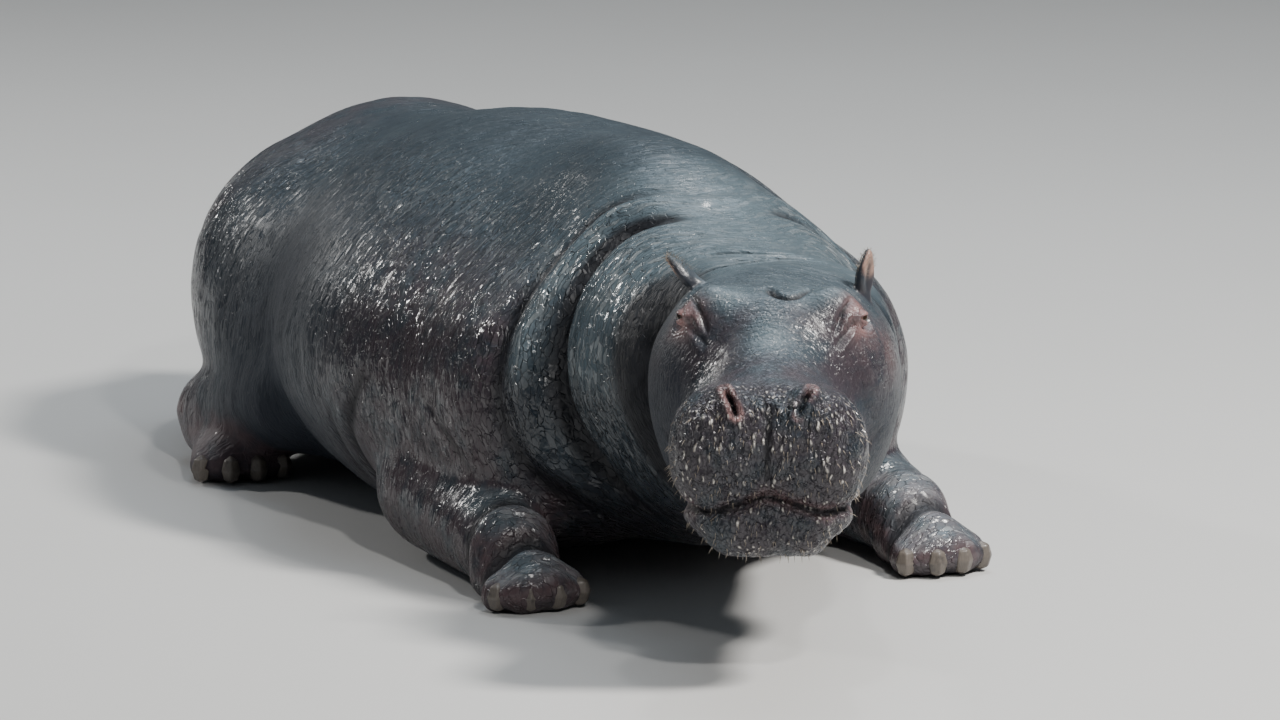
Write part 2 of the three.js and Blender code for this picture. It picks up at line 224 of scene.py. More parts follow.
def curve_through(path, per_span=6):
    """A smooth run of points through a few given ones."""
    path = np.array(path, float)
    ends = np.vstack([2 * path[0] - path[1], path, 2 * path[-1] - path[-2]])
    run = []
    for p0, p1, p2, p3 in zip(ends, ends[1:], ends[2:], ends[3:]):
        for t in np.linspace(0, 1, per_span, endpoint=False):
            run.append(
                0.5
                * (2 * p1 + (p2 - p0) * t + (2 * p0 - 5 * p1 + 4 * p2 - p3) * t**2
                   + (3 * p1 - p0 - 3 * p2 + p3) * t**3)
            )
    return np.array(run + [path[-1]])


def stroke(places, path):
    """Distance of each place from a curve through path, and how far along it, 0 to 1."""
    run = curve_through(path)
    best = np.full(len(places), 1e9)
    along = np.zeros(len(places))
    lengths = np.linalg.norm(np.diff(run, axis=0), axis=1)
    starts = np.concatenate([[0], np.cumsum(lengths)])
    for a, b, start, length in zip(run, run[1:], starts, lengths):
        t = np.clip((places - a) @ (b - a) / max(length, 1e-9) ** 2, 0, 1)
        away = np.linalg.norm(places - a - t[:, None] * (b - a), axis=1)
        closer = away < best
        best[closer] = away[closer]
        along[closer] = ((start + t * length) / starts[-1])[closer]
    return best, along


def line_mark(places, path, width):
    """A mark along a curve, 1 on it, that thins out at both ends."""
    away, along = stroke(places, path)
    taper = np.sqrt(np.clip(1 - (2 * along - 1) ** 2, 0, 1))
    return bell(away, width) * taper


def ripple(points, wavelength, seed, waves=7):
    """Gentle uneven swelling, -1 to 1, from a few crossing waves."""
    chance = np.random.default_rng(seed)
    total = np.zeros(len(points))
    for _ in range(waves):
        heading = chance.normal(size=3)
        heading *= 2 * np.pi / (wavelength * chance.uniform(0.7, 1.4) * np.linalg.norm(heading))
        total += np.sin(points @ heading + chance.uniform(0, 2 * np.pi))
    return total / np.sqrt(waves * 2)


# ---- the skin: rough body, then ears, then a fine even surface -------------------------------

def rough_body():
    """The flesh as one closed surface, its flat facets relaxed into round forms."""
    body = copy_of("skin", CORE + LEGS + EYES)
    worked(body, "REMESH", mode="VOXEL", voxel_size=ROUGH_CELL)
    keep_largest(body)
    points = read(body)
    share = np.full(len(points), 0.55)
    for nodes, fade, firm in (
        ([n for n in LEGS if "leg" in n], 0.06, 0.26),
        (["head"], 0.14, 0.12),
        (["lower_jaw", "tail"], 0.05, 0.12),
        ([n for n in LEGS if "foot" in n], 0.03, 0.05),
    ):
        mask = any_of(points, nodes, fade)
        share = share * (1 - mask) + firm * mask
    relax(body, share, 44)
    return worked(body, "SUBSURF", levels=1, render_levels=1)


def fine_ears():
    ears = copy_of("ears", EARS)
    worked(ears, "REMESH", mode="VOXEL", voxel_size=0.0026)
    relax(ears, 0.5, 10)
    return ears


def fine_skin():
    skin = join(rough_body(), fine_ears())
    worked(skin, "REMESH", mode="VOXEL", voxel_size=FINE_CELL)
    keep_largest(skin)
    points = read(skin)
    relax(skin, 0.5 - 0.25 * any_of(points, EARS, 0.01), 4)
    return skin


# ---- sculpting -------------------------------------------------------------------------------

def girth_angle(points):
    """Degrees round the trunk: 0 on top, 90 at either side."""
    return np.degrees(np.arctan2(np.abs(points[:, 1]), points[:, 2] - SPINE_HEIGHT))


def fold_line(points):
    """Where the first neck fold lies along X at each point's place round the neck."""
    turn = girth_angle(points)
    return 0.477 + 0.135 * bell(turn, 25) + 0.05 * (turn / 90) ** 2


NECK_GROOVE = 0.082  # ahead of the first fold
NECK_ROLL = 0.19
NECK_HOLLOW = 0.46


def neck_folds(points):
    """Heavy folds where the neck bends, deeper on the side the head is turned to."""
    ahead = points[:, 0] - fold_line(points)
    turn = girth_angle(points)
    bent = np.where(points[:, 1] < 0, 1.0, 0.5)
    bent = bent * (1 - step(125, 155, turn))
    side = step(8, 40, turn)
    ridge = 0.015 * bell(ahead, 0.022) * (0.35 + 0.65 * side)
    behind = -0.010 * bell(ahead + 0.045, 0.018) * (0.3 + 0.7 * side)
    groove = -0.036 * bell(ahead - NECK_GROOVE, 0.026) * side
    second = -0.010 * bell(ahead - NECK_ROLL + 0.03, 0.012) * side * step(50, 75, turn)
    roll = 0.020 * bell(ahead - NECK_ROLL, 0.075) * side
    inner_bend = np.where(points[:, 1] < 0, 1.0, 0.3) * step(30, 70, turn)
    hollow = -0.062 * bell(ahead - NECK_HOLLOW, 0.10) * inner_bend
    return bent * (ridge + behind + groove + second + roll + hollow)


def jaw_fold(points):
    """Behind the cheek, where the head sinks into the neck."""
    x, y, z = in_head(points).T
    line = -0.225 - 0.05 * step(-0.1, -0.4, z)
    on_side = step(0.12, 0.2, np.abs(y)) * step(-0.42, -0.3, z) * (1 - step(-0.02, 0.05, z))
    return -np.where(y < 0, 0.018, 0.011) * bell(x - line, 0.028) * on_side


def body_swellings(points):
    h = in_head(points)
    body = 1 - step(-0.35, -0.1, h[:, 0])
    low = step(0.02, 0.12, points[:, 2])
    broad = 0.0045 * ripple(points * (1, 0.8, 0.8), 0.42, 3)
    small = 0.0016 * ripple(points * (1.6, 0.7, 0.7), 0.11, 5)
    return body * low * (broad + small)


def body_creases(points):
    """Folds before the thigh, behind the elbow and round the tail."""
    side_view = points[:, [0, 2]]
    outer = step(0.25, 0.4, np.abs(points[:, 1]))
    total = np.zeros(len(points))
    for path, width, depth in (
        ([(-0.50, 0.10), (-0.555, 0.22), (-0.57, 0.34), (-0.60, 0.44)], 0.016, 0.012),
        ([(-0.44, 0.14), (-0.485, 0.25), (-0.50, 0.34)], 0.011, 0.006),
        ([(-0.11, 0.08), (-0.10, 0.20), (-0.05, 0.32), (0.03, 0.43)], 0.018, 0.011),
        ([(-0.19, 0.12), (-0.17, 0.23), (-0.13, 0.33)], 0.012, 0.006),
        ([(0.44, 0.22), (0.36, 0.33), (0.25, 0.41)], 0.014, 0.006),
    ):
        total -= depth * outer * line_mark(side_view, path, width)
    return total


POLL_WRINKLES = [-0.262, -0.286, -0.308, -0.334, -0.362, -0.392]
HOOK = [(-0.03, -0.012), (0.008, 0.002), (0.026, 0.024), (0.022, 0.05), (-0.004, 0.07), (-0.034, 0.084)]

# Creases on both sides of the face: path, half width, depth. Less than no depth is a raised lip.
FACE_CREASES = [
    # from the front corner of the eye down towards the bridge, with a raised lip along it
    ([(0.038, 0.178, 0.014), (0.062, 0.158, -0.010), (0.100, 0.134, -0.040)], 0.006, 0.011),
    ([(0.044, 0.190, 0.000), (0.070, 0.170, -0.024), (0.104, 0.148, -0.052)], 0.008, -0.006),
    # the brow's own fold, from above the eye forwards and down
    ([(0.010, 0.176, 0.060), (0.050, 0.154, 0.034), (0.084, 0.136, -0.012)], 0.006, 0.009),
    ([(0.018, 0.190, 0.044), (0.052, 0.166, 0.020), (0.080, 0.152, -0.014)], 0.008, -0.005),
    # on the cheek
    ([(-0.045, 0.215, -0.050), (0.000, 0.215, -0.105), (0.050, 0.190, -0.150)], 0.008, 0.006),
    ([(-0.110, 0.225, -0.040), (-0.060, 0.235, -0.120), (-0.010, 0.225, -0.190)], 0.009, 0.006),
    ([(0.060, 0.180, -0.090), (0.110, 0.165, -0.130), (0.170, 0.170, -0.150)], 0.008, 0.004),
    # before and under the ear
    ([(-0.100, 0.160, 0.060), (-0.082, 0.188, 0.030), (-0.088, 0.214, -0.020)], 0.007, 0.008),
    ([(-0.170, 0.190, 0.030), (-0.175, 0.215, -0.020), (-0.165, 0.235, -0.080)], 0.010, 0.007),
]


def head_creases(points):
    """Wrinkles on the poll, the hooked crease on the brow and the folds of the face."""
    h = in_head(points)
    mirrored = np.stack([h[:, 0], np.abs(h[:, 1]), h[:, 2]], 1)
    above = step(0.0, 0.04, h[:, 2])
    top_view = h[:, :2]
    total = np.zeros(len(points))
    for i, start in enumerate(POLL_WRINKLES):
        skew = 0.035 * math.sin(2.1 * i)
        short = 0.03 * math.cos(1.7 * i)
        wave = 0.008 * math.sin(3.3 * i)
        ends = (start - 0.012 + wave, -0.115 + skew + short), (start - 0.018, 0.085 + skew - short)
        path = [ends[0], (start + wave, -0.05 + skew), (start - wave, 0.02 + skew), ends[1]]
        depth = 0.010 + 0.004 * math.sin(4.4 * i)
        total -= depth * above * line_mark(top_view, path, 0.0062)
    total -= 0.017 * above * line_mark(top_view, HOOK, 0.0095)
    for path, width, depth in FACE_CREASES:
        near = np.linalg.norm(mirrored - path[1], axis=1) < 0.14
        total[near] -= depth * line_mark(mirrored[near], path, width)
    median = bell(h[:, 1], 0.010) * step(0.40, 0.45, h[:, 0])
    total -= 0.009 * median * step(-0.30, -0.25, h[:, 2]) * (1 - step(-0.12, -0.07, h[:, 2]))
    return total


def orbit_domes(points):
    """Full round brows over the eyes."""
    h = in_head(points)
    mirrored = np.stack([h[:, 0], np.abs(h[:, 1]), h[:, 2]], 1)
    return 0.010 * bell(np.linalg.norm(mirrored - (0.012, 0.118, 0.055), axis=1), 0.045)


MOUTH = [
    (0.50, -0.302), (0.40, -0.318), (0.30, -0.333), (0.20, -0.330),
    (0.13, -0.310), (0.07, -0.272), (0.03, -0.232),
]


def mouth_line(points):
    """How close each point is to the line where the lips meet."""
    h = in_head(points)
    wide = np.abs(h[:, 1])
    dip = (0.018 * bell(wide - 0.125, 0.05) - 0.016 * bell(wide, 0.04)) * step(0.25, 0.36, h[:, 0])
    away, along = stroke(np.stack([h[:, 0], h[:, 2] + dip], 1), MOUTH)
    outer = step(0.05, 0.12, wide) + step(0.40, 0.44, h[:, 0])
    return away + 0.04 * (1 - np.clip(outer, 0, 1)), along


def mouth(points):
    away, along = mouth_line(points)
    depth = 0.016 * (1 - 0.8 * step(0.6, 1.0, along))
    return -depth * bell(away, 0.008) + 0.004 * bell(away - 0.024, 0.014) * (1 - step(0.7, 1.0, along))


def chin(points):
    """Takes the corners off the lower jaw."""
    x, y, z = in_head(points).T
    return -0.020 * step(0.09, 0.16, np.abs(y)) * (1 - step(-0.42, -0.36, z)) * step(0.12, 0.22, x)


def lip_swellings(points):
    """Rows of low mounds on the muzzle, each round a bristle."""
    h = in_head(points)
    front = step(0.30, 0.40, h[:, 0]) * (1 - step(-0.10, -0.05, h[:, 2]))
    return front * (0.0020 * ripple(points, 0.036, 11, 9) + 0.0011 * ripple(points, 0.019, 13, 9))


def sculpt(skin):
    body = (neck_folds, body_swellings, body_creases)
    face = (jaw_fold, orbit_domes, head_creases, mouth, chin, lip_swellings)
    for form in body + face:
        points = read(skin)
        place(skin, points + form(points)[:, None] * read(skin, "normal"))
    relax(skin, 0.2, 1)


def thin_out(skin, chosen, left):
    """Joins triangles among the chosen points until about this many are left in all."""
    group = skin.vertex_groups.new(name="chosen")
    group.add(np.flatnonzero(chosen).tolist(), 1.0, "REPLACE")
    skin.data.calc_loop_triangles()
    worked(skin, "DECIMATE", ratio=left / len(skin.data.loop_triangles), vertex_group="chosen")
    skin.vertex_groups.clear()


def thinned(skin):
    """Coarser on the plain body than on the head, whose creases are fine."""
    behind = in_head(read(skin))[:, 0] < HEAD_START
    skin.data.calc_loop_triangles()
    corners = np.empty(len(skin.data.loop_triangles) * 3, np.int32)
    skin.data.loop_triangles.foreach_get("vertices", corners)
    on_head = int((~behind[corners.reshape(-1, 3)]).all(axis=1).sum())
    thin_out(skin, behind, on_head + BODY_TRIANGLES)
    on_head = in_head(read(skin))[:, 0] >= HEAD_START
    thin_out(skin, on_head, HEAD_TRIANGLES + BODY_TRIANGLES)


# ---- lids and nostrils: the surface there is made finer first --------------------------------

def refine(piece, centre, radius, times):
    """Splits the faces round a point into smaller ones."""
    for _ in range(times):
        mesh = bmesh.new()
        mesh.from_mesh(piece.data)
        near = [e for e in mesh.edges if all((v.co - Vector(centre)).length < radius for v in e.verts)]
        bmesh.ops.subdivide_edges(mesh, edges=near, cuts=1, use_grid_fill=True)
        bmesh.ops.triangulate(mesh, faces=mesh.faces[:])
        mesh.to_mesh(piece.data)
        mesh.free()
        points = read(piece)
        away = np.linalg.norm(points - centre, axis=1)
        relax(piece, 0.5 * (1 - step(radius * 0.8, radius * 1.05, away)), 3)


LID_LENGTH = 0.0205  # half the opening, along the head
LID_UPPER = 0.0066
LID_LOWER = 0.0060
LID_THICK = 0.0032
LID_EDGE = 0.0018  # how far the lid takes to round over from the eye


def lids(skin, side):
    """A slit opening over the eyeball with thick lids and a fold round them."""
    centre = from_head(EYE_AT * (1, side, 1))
    refine(skin, centre, 0.062, 2)
    points = read(skin)
    h = (in_head(points) - EYE_AT * (1, side, 1)) * (1, side, 1)
    along, out, up = h.T
    tilt = math.radians(-12)  # the front corner is the lower one
    a = along * math.cos(tilt) - up * math.sin(tilt)
    b = along * math.sin(tilt) + up * math.cos(tilt)
    height = np.where(b > 0, LID_UPPER, LID_LOWER)
    from_axis = np.hypot(a, b)
    reach = np.sqrt((a / LID_LENGTH) ** 2 + (b / height) ** 2)
    edge = (reach - 1) * np.minimum(from_axis / np.maximum(reach, 1e-6), LID_LENGTH)
    ball = np.sqrt(np.clip(EYE_RADIUS**2 - from_axis**2, (0.2 * EYE_RADIUS) ** 2, None))
    pocket = ball - 0.007
    rim = ball + LID_THICK
    roll = rim + 0.0016 * bell(edge - 0.006, 0.004) - 0.0022 * bell(edge - 0.0125, 0.0028)
    lid = np.where(edge < 0, pocket, roll)
    up_the_rim = np.sqrt(np.clip(edge / LID_EDGE, 0, 1))
    lid = np.where((edge >= 0) & (edge < LID_EDGE), pocket + (rim - pocket) * up_the_rim, lid)
    weight = (1 - step(0.011, 0.026, edge)) * (out > -0.01) * (from_axis < 0.05)
    wrinkles = np.zeros(len(points))
    for distance, depth in ((0.0205, 0.0022), (0.0285, 0.0018), (0.037, 0.0012)):
        wrinkles -= depth * bell(edge - distance, 0.0024) * (from_axis < 0.07) * (out > -0.03)
    moved = out + weight * (lid - out) + wrinkles * (1 - weight)
    h[:, 1] = np.where(from_axis < 0.07, moved, out)
    back = h * (1, side, 1) + EYE_AT * (1, side, 1)
    place(skin, from_head(back))


NOSTRIL = [(0.412, 0.098, -0.052), (0.440, 0.090, -0.063), (0.464, 0.076, -0.084), (0.478, 0.066, -0.112)]


def nostril(skin, side):
    """A slit with a raised rim that runs down the front of its mound."""
    path = np.array(NOSTRIL) * (1, side, 1)
    centre = from_head(path.mean(0))
    refine(skin, centre, 0.07, 1)
    points = read(skin)
    h = in_head(points)
    away, along = stroke(h, path)
    taper = np.sqrt(np.clip(1 - (2 * along - 1) ** 2, 0, 1))
    half_width = 0.0058 * (0.35 + 0.65 * taper)
    hole = 1 - step(half_width * 0.55, half_width * 1.5, away)
    normal = read(skin, "normal")
    into = from_head((0.30, 0.07 * side, -0.17)) - centre
    into /= np.linalg.norm(into)
    rim = 0.0065 * bell(away - 0.016, 0.008) * (0.4 + 0.6 * taper)
    points += (hole * (0.008 + 0.024 * taper))[:, None] * into + (rim * (1 - hole))[:, None] * normal
    place(skin, points)
    relax(skin, 0.3 * (1 - step(0.03, 0.05, away)), 2)


FLOOR_GAP = 0.0004


def rest_on_floor(skin):
    points = read(skin)
    points[:, 2] = np.maximum(points[:, 2], FLOOR_GAP)
    place(skin, points)


def keep_in_box(skin, box):
    """No fold stands out past the solids' own reach."""
    low, high = (np.array(corner) for corner in box)
    place(skin, np.clip(read(skin), low, high))


def mark(piece, name, values, kind="FLOAT"):
    field = "value" if kind == "FLOAT" else "vector"
    attribute = piece.data.attributes.new(name, kind, "POINT")
    attribute.data.foreach_set(field, np.asarray(values, np.float32).ravel())


# Each ear in the head's frame: where it is rooted, which way it points and where it opens to.
EAR_ROOT = {"right": (-0.138, -0.160, 0.044), "left": (-0.138, 0.192, 0.030)}
EAR_LEAN = {"right": math.radians(44), "left": math.radians(7)}
EAR_OPEN = {"right": (-0.24, -0.70, -0.67), "left": (0.47, 0.88, -0.11)}
EAR_HEIGHT = 0.112


def inner_ear(points, normal):
    """1 inside the cups of the ears, and the hollow low in each, which is darkened as painted shade."""
    inside, hollow = np.zeros(len(points)), np.zeros(len(points))
    for side_name, opening in EAR_OPEN.items():
        lean = EAR_LEAN[side_name]
        axis = np.array((0.0, SIDES[side_name] * math.sin(lean), math.cos(lean)))
        across = np.cross(axis, opening)
        from_root = in_head(points) - EAR_ROOT[side_name]
        up = from_root @ axis / EAR_HEIGHT
        off = np.abs(from_root @ across)
        on_ear = near_node(points, f"ear_{side_name}", 0.003)
        facing = step(0.05, 0.55, normal @ (np.array(opening) @ HEAD_AXES))
        start = 0.30 + 0.12 * step(0.0, 0.03, off)
        inside += on_ear * facing * step(start, start + 0.22, up) * (1 - step(0.016, 0.032, off))
        hollow += on_ear * facing * bell(off, 0.009) * step(0.05, 0.25, up) * (1 - step(0.55, 0.85, up))
    return inside, hollow


class Places:
    """Where the skin's points are, in the ways that its paint needs. Regions run from 0 to 1."""

    def __init__(self, skin):
        self.points, self.normal = read(skin), read(skin, "normal")
        self.h = in_head(self.points)
        x, y, z = self.x, self.y, self.z = self.h.T
        self.mirrored = np.stack([x, np.abs(y), z], 1)
        self.turn = girth_angle(self.points)
        self.ahead = self.points[:, 0] - fold_line(self.points)
        self.on_right = y < 0

        self.head = step(-0.30, -0.12, x)
        self.muzzle = step(0.2, 0.42, x)
        self.ears = any_of(self.points, EARS, 0.003)
        self.ear_inside, self.ear_hollow_shade = inner_ear(self.points, self.normal)
        self.eye = np.linalg.norm(self.mirrored - EYE_AT, axis=1)  # a distance
        self.slit, _ = stroke(self.mirrored, NOSTRIL)  # a distance
        self.patch = bell(np.linalg.norm(self.h[:, :2] - (0.155, 0.0), axis=1), 0.055) * step(-0.1, -0.04, z)
        self.face = step(0.02, 0.10, x) * (1 - step(0.30, 0.40, x)) * (1 - self.patch)
        self.rear_flank = self._rear_flank()
        # where the neck's hollow gets painted shade
        self.pocket = self._painted_neck_shade()

    def _rear_flank(self):
        """The lower side, between the ribs and the thigh."""
        x = self.points[:, 0]
        return step(40, 92, self.turn) * step(-1.25, -0.65, x) * (1 - step(-0.55, 0.1, x))

    def _painted_neck_shade(self):
        """The hollow of the neck behind the cheek, deeper on the right: where painted shade goes."""
        round_the_side = step(30, 100, self.turn) * (1 - step(105, 150, self.turn))
        strength = np.where(self.points[:, 1] < 0, 0.8, 0.3) * (1 - self.head)
        return bell(self.ahead - NECK_HOLLOW, 0.12) * round_the_side * strength


def pink_skin(at):
    """Round the eyes and nostrils, along the lips, on the cheeks and faintly on the feet."""
    away, _ = mouth_line(at.points)
    feet = any_of(at.points, [n for n in LEGS if "foot" in n], 0.05)
    cheek = bell(np.linalg.norm(at.mirrored - (-0.03, 0.22, -0.05), axis=1), 0.09)
    pink = 0.85 * bell(at.eye - 0.014, 0.016) + 0.35 * bell(np.maximum(at.eye - 0.03, 0), 0.03)
    # little pink on the right cheek, which is kept dark as painted shade
    pink += np.where(at.on_right, 0.05, 0.26) * cheek
    pink += 0.6 * bell(at.slit - 0.011, 0.006) + 0.35 * bell(away, 0.016) * step(0.0, 0.2, at.x)
    return pink + 0.16 * feet


def brown_skin(at):
    """On the rump, the front of the flank, the belly, the face and the muzzle."""
    rump = 1 - step(-1.35, -0.95, at.points[:, 0])
    ribs = step(-0.35, 0.1, at.points[:, 0]) * (1 - step(0.42, 0.58, at.points[:, 0]))
    flank = step(48, 78, at.turn) * ribs
    belly = 1 - step(0.12, 0.34, at.points[:, 2])
    brow = bell(np.linalg.norm(at.mirrored - (0.045, 0.160, 0.028), axis=1), 0.035)
    brown = 0.9 * rump + 0.9 * flank + 0.75 * at.muzzle + 0.5 * belly * (1 - at.head)
    return brown + 0.7 * brow + 0.3 * at.ears + 0.7 * at.face * at.head


def blue_skin_and_painted_shade(at):
    """Painted shade in darkest slate blue: under the cheeks, most under and on the right one, in the neck's
    hollow and low on the rear flank; and a little slate blue on the lips.
    """
    wide = np.abs(at.y)
    shade_under_cheek = at.head * (1 - step(-0.24, -0.02, at.z)) * step(0.14, 0.21, wide) * (1 - at.muzzle)
    shade_under_cheek *= np.where(at.on_right, 1.0, 0.75)
    shaded_right_cheek = at.head * step(0.16, 0.22, -at.y) * (1 - step(-0.02, 0.05, at.z))
    shade_under_cheek += shaded_right_cheek * (1 - at.muzzle) * (at.eye > 0.05)
    lips = step(0.30, 0.42, at.x) * (1 - step(-0.16, -0.08, at.z)) * 0.2
    return 1.1 * at.rear_flank + at.pocket + 0.9 * shade_under_cheek + lips


def pale_skin_and_painted_sheen(at):
    """Painted sheen on upward faces of the shoulders and neck, on the domes over the eyes and on the neck
    rolls; pale skin on the brow.
    """
    top_sheen = step(0.35, 0.85, at.normal[:, 2])
    shoulders = step(0.3, 0.6, at.points[:, 0])
    pale_and_painted_sheen = top_sheen * (0.25 + 0.75 * shoulders) * (1 - 0.7 * at.muzzle) * (1 - 0.75 * at.face * at.head)
    pale_and_painted_sheen *= 1 - 0.5 * at.head
    dome = bell(np.linalg.norm(at.mirrored - (0.0, 0.105, 0.06), axis=1), 0.045)
    rolls = bell(at.ahead - NECK_ROLL - 0.02, 0.10) + bell(at.ahead, 0.03)
    rolls = rolls * step(25, 45, at.turn) * (1 - step(85, 100, at.turn))
    return pale_and_painted_sheen + (1.4 * dome + 0.5 * at.patch + 0.9 * rolls)


def painted_crease_shade(at):
    """Painted shade: dark in every crease and slit, in the ears' hollows, in the neck's hollow and close to
    the floor.
    """
    points = at.points
    creases = -(neck_folds(points) + body_creases(points) + head_creases(points) + mouth(points))
    creases -= jaw_fold(points)
    shaded = step(0.001, 0.010, creases) + bell(at.slit, 0.006) + (1 - step(0.0, 0.05, points[:, 2])) * 0.6
    return shaded + (0.75 * at.ear_hollow_shade + 0.2 * at.pocket)


def flaked_skin(at):
    """How strongly the hide is flaked: most on the flanks and the neck rolls, little on top."""
    flaked = 0.22 * at.head + (1 - at.head) * (0.30 + 0.70 * step(28, 60, at.turn))
    rolls = bell(at.ahead, 0.05) + bell(at.ahead - NECK_ROLL, 0.12)
    flaked += 0.5 * np.clip(rolls, 0, 1) * step(10, 40, at.turn)
    flaked *= (1 - 0.5 * any_of(at.points, LEGS, 0.04)) * (1 - at.ears)
    return flaked * (1 - 0.8 * at.pocket) * (1 - 0.5 * at.rear_flank)


def lie_of_skin(at):
    """The points themselves, but with X counted from the neck's folds, and along the head on the head."""
    neck = step(0.85, 1.1, at.points[:, 0])
    along = at.points[:, 0] * (1 - neck) + (at.x + HEAD_AT[0]) * neck
    lie = at.points.copy()
    lie[:, 0] = along - fold_line(at.points)
    return lie


def paint_marks(skin):
    """Marks on the skin that the hide's colours, its painted shade and sheen, and its wrinkles follow."""
    at = Places(skin)
    low_cheek = step(0.19, 0.23, np.abs(at.y)) * (1 - step(-0.05, 0.0, at.z))
    speckled = np.maximum(step(0.14, 0.28, at.x), low_cheek)
    marks = {
        "pink": pink_skin(at),
        # less rosy in each ear's hollow, where painted shade goes
        "rosy": at.ear_inside * (1 - 0.7 * at.ear_hollow_shade),
        "brown": brown_skin(at),
        "blue_and_painted_shade": blue_skin_and_painted_shade(at),
        "pale_and_painted_sheen": pale_skin_and_painted_sheen(at),
        "crease_shade": painted_crease_shade(at),
        "grain": flaked_skin(at),
        "head": at.head * (1 - at.ears) * (0.35 + 0.65 * speckled),
        "front": step(0.33, 0.43, at.x) * (1 - step(-0.1, -0.03, at.z)),
    }
    for name, values in marks.items():
        mark(skin, name, np.clip(values, 0, 1))
    mark(skin, "lie", lie_of_skin(at), "FLOAT_VECTOR")


def hide_skin():
    skin = fine_skin()
    sculpt(skin)
    thinned(skin)
    for side in SIDES.values():
        lids(skin, side)
        nostril(skin, side)
    rest_on_floor(skin)
    keep_in_box(skin, cad_box)
    paint_marks(skin)
    only(skin)
    bpy.ops.object.shade_smooth()
    skin.data.materials.append(hide())
    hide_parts(*CORE, *LEGS, *EARS)
    return skin


# ---- eyes, nails and bristles ----------------------------------------------------------------

def eyeball(side_name, side):
    centre = from_head(EYE_AT * (1, side, 1))
    bpy.ops.object.select_all(action="DESELECT")
    bpy.ops.mesh.primitive_uv_sphere_add(segments=48, ring_count=32, radius=EYE_RADIUS)
    ball = bpy.context.active_object
    ball.name = f"eyeball_{side_name}"
    points = read(ball)
    gaze = np.array((0.22, 0.0, 0.02))
    bulge = 1 - step(0.35, 0.62, np.hypot(points[:, 0], points[:, 1]) / EYE_RADIUS)
    points *= 1 + 0.055 * (bulge * (points[:, 2] > 0))[:, None]
    mark(ball, "out", np.hypot(points[:, 0], points[:, 1]) / EYE_RADIUS + (points[:, 2] < 0) * 3)
    mark(ball, "pupil", np.hypot(points[:, 0] / 1.9, points[:, 1]) / EYE_RADIUS + (points[:, 2] < 0) * 3)
    outward = HEAD_LEFT * side + from_head(gaze) - HEAD_AT
    outward /= np.linalg.norm(outward)
    across = np.cross(HEAD_UP, outward)
    across /= np.linalg.norm(across)
    upward = np.cross(outward, across)
    place(ball, points @ np.stack([across, upward, outward]) + centre)
    only(ball)
    bpy.ops.object.shade_smooth()
    ball.data.materials.append(wet_eye())
    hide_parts(f"eye_{side_name}")
    return ball


def toenail(which, side_name, number):
    """A blunt hoof-like nail, smooth where the solid has facets, rooted a little in its toe."""
    node = f"{which}_nail_{side_name}_{number}"
    piece = copy_of(f"{which}_toenail_{side_name}_{number}", [node])
    worked(piece, "REMESH", mode="VOXEL", voxel_size=0.0022)
    relax(piece, 0.5, 5)
    points = read(piece)
    centre = np.array(middle(node))
    foot = np.array(middle(f"{which}_foot_{side_name}"))
    outward = (centre - foot) * (1, 1, 0)
    outward /= np.linalg.norm(outward)
    rooted = 1 - step(-0.02, 0.006, (points - centre) @ outward)
    points -= outward * (0.006 * rooted)[:, None]
    points[:, 2] = np.maximum(points[:, 2], 0.0006)
    place(piece, points)
    only(piece)
    bpy.ops.object.shade_smooth()
    piece.data.materials.append(nail_horn())
    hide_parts(node)
    return piece


def bristle_mesh(roots, tips, thick, uvs):
    """Thin three-sided hairs that bend once, each with its patch of the unwrap."""
    verts, faces, corners = [], [], []
    for root, tip, width, uv in zip(roots, tips, thick, uvs):
        way = tip - root
        length = np.linalg.norm(way)
        way = way / length
        side = np.cross(way, HEAD_UP + 0.01)
        side /= np.linalg.norm(side)
        other = np.cross(way, side)
        first = len(verts)
        bend = root + way * length * 0.55 + HEAD_UP * length * 0.06
        for at, size in ((root - way * width, 1.0), (bend, 0.62)):
            for i in range(3):
                turn = 2 * math.pi * i / 3
                verts.append(at + size * width * (math.cos(turn) * side + math.sin(turn) * other))
        verts.append(tip)
        made = [(first + 2, first + 1, first)]
        for i in range(3):
            j = (i + 1) % 3
            made.append((first + i, first + j, first + 3 + j, first + 3 + i))
            made.append((first + 3 + i, first + 3 + j, first + 6))
        faces += made
        for face in made:
            for vert in face:
                k = vert - first
                corners.append((uv[0] + 0.0015 * ((k % 3) - 1), uv[1] + 0.0015 * (k // 3 - 1)))
    return verts, faces, corners


def bristles(name, skin, chosen, direction, lengths, width, uv_of):
    points, normal = read(skin)[chosen], read(skin, "normal")[chosen]
    way = normal * 0.75 + direction
    way /= np.linalg.norm(way, axis=1)[:, None]
    roots = points - normal * 0.001
    tips = roots + way * lengths[:, None]
    verts, faces, corners = bristle_mesh(roots, tips, np.full(len(roots), width), uv_of(points))
    mesh = bpy.data.meshes.new(name)
    mesh.from_pydata([tuple(v) for v in verts], [], faces)
    layer = mesh.uv_layers.new(name="OFBake")
    layer.data.foreach_set("uv", np.array(corners, np.float32).ravel())
    piece = bpy.data.objects.new(name, mesh)
    bpy.context.scene.collection.objects.link(piece)
    piece.data.materials.append(bristle_hair())
    return piece


def pick(chance, weight, count):
    return chance.choice(len(weight), count, replace=False, p=weight / weight.sum())


def muzzle_uv(points):
    """Round the muzzle's own axis, as a cap is peeled flat."""
    h = in_head(points) - (0.28, 0, -0.22)
    tilt = np.arctan2(np.hypot(h[:, 1], h[:, 2]), h[:, 0]) / np.pi
    turn = np.arctan2(h[:, 2], h[:, 1])
    return np.stack([0.5 + 0.48 * tilt * np.cos(turn), 0.5 + 0.48 * tilt * np.sin(turn)], 1)


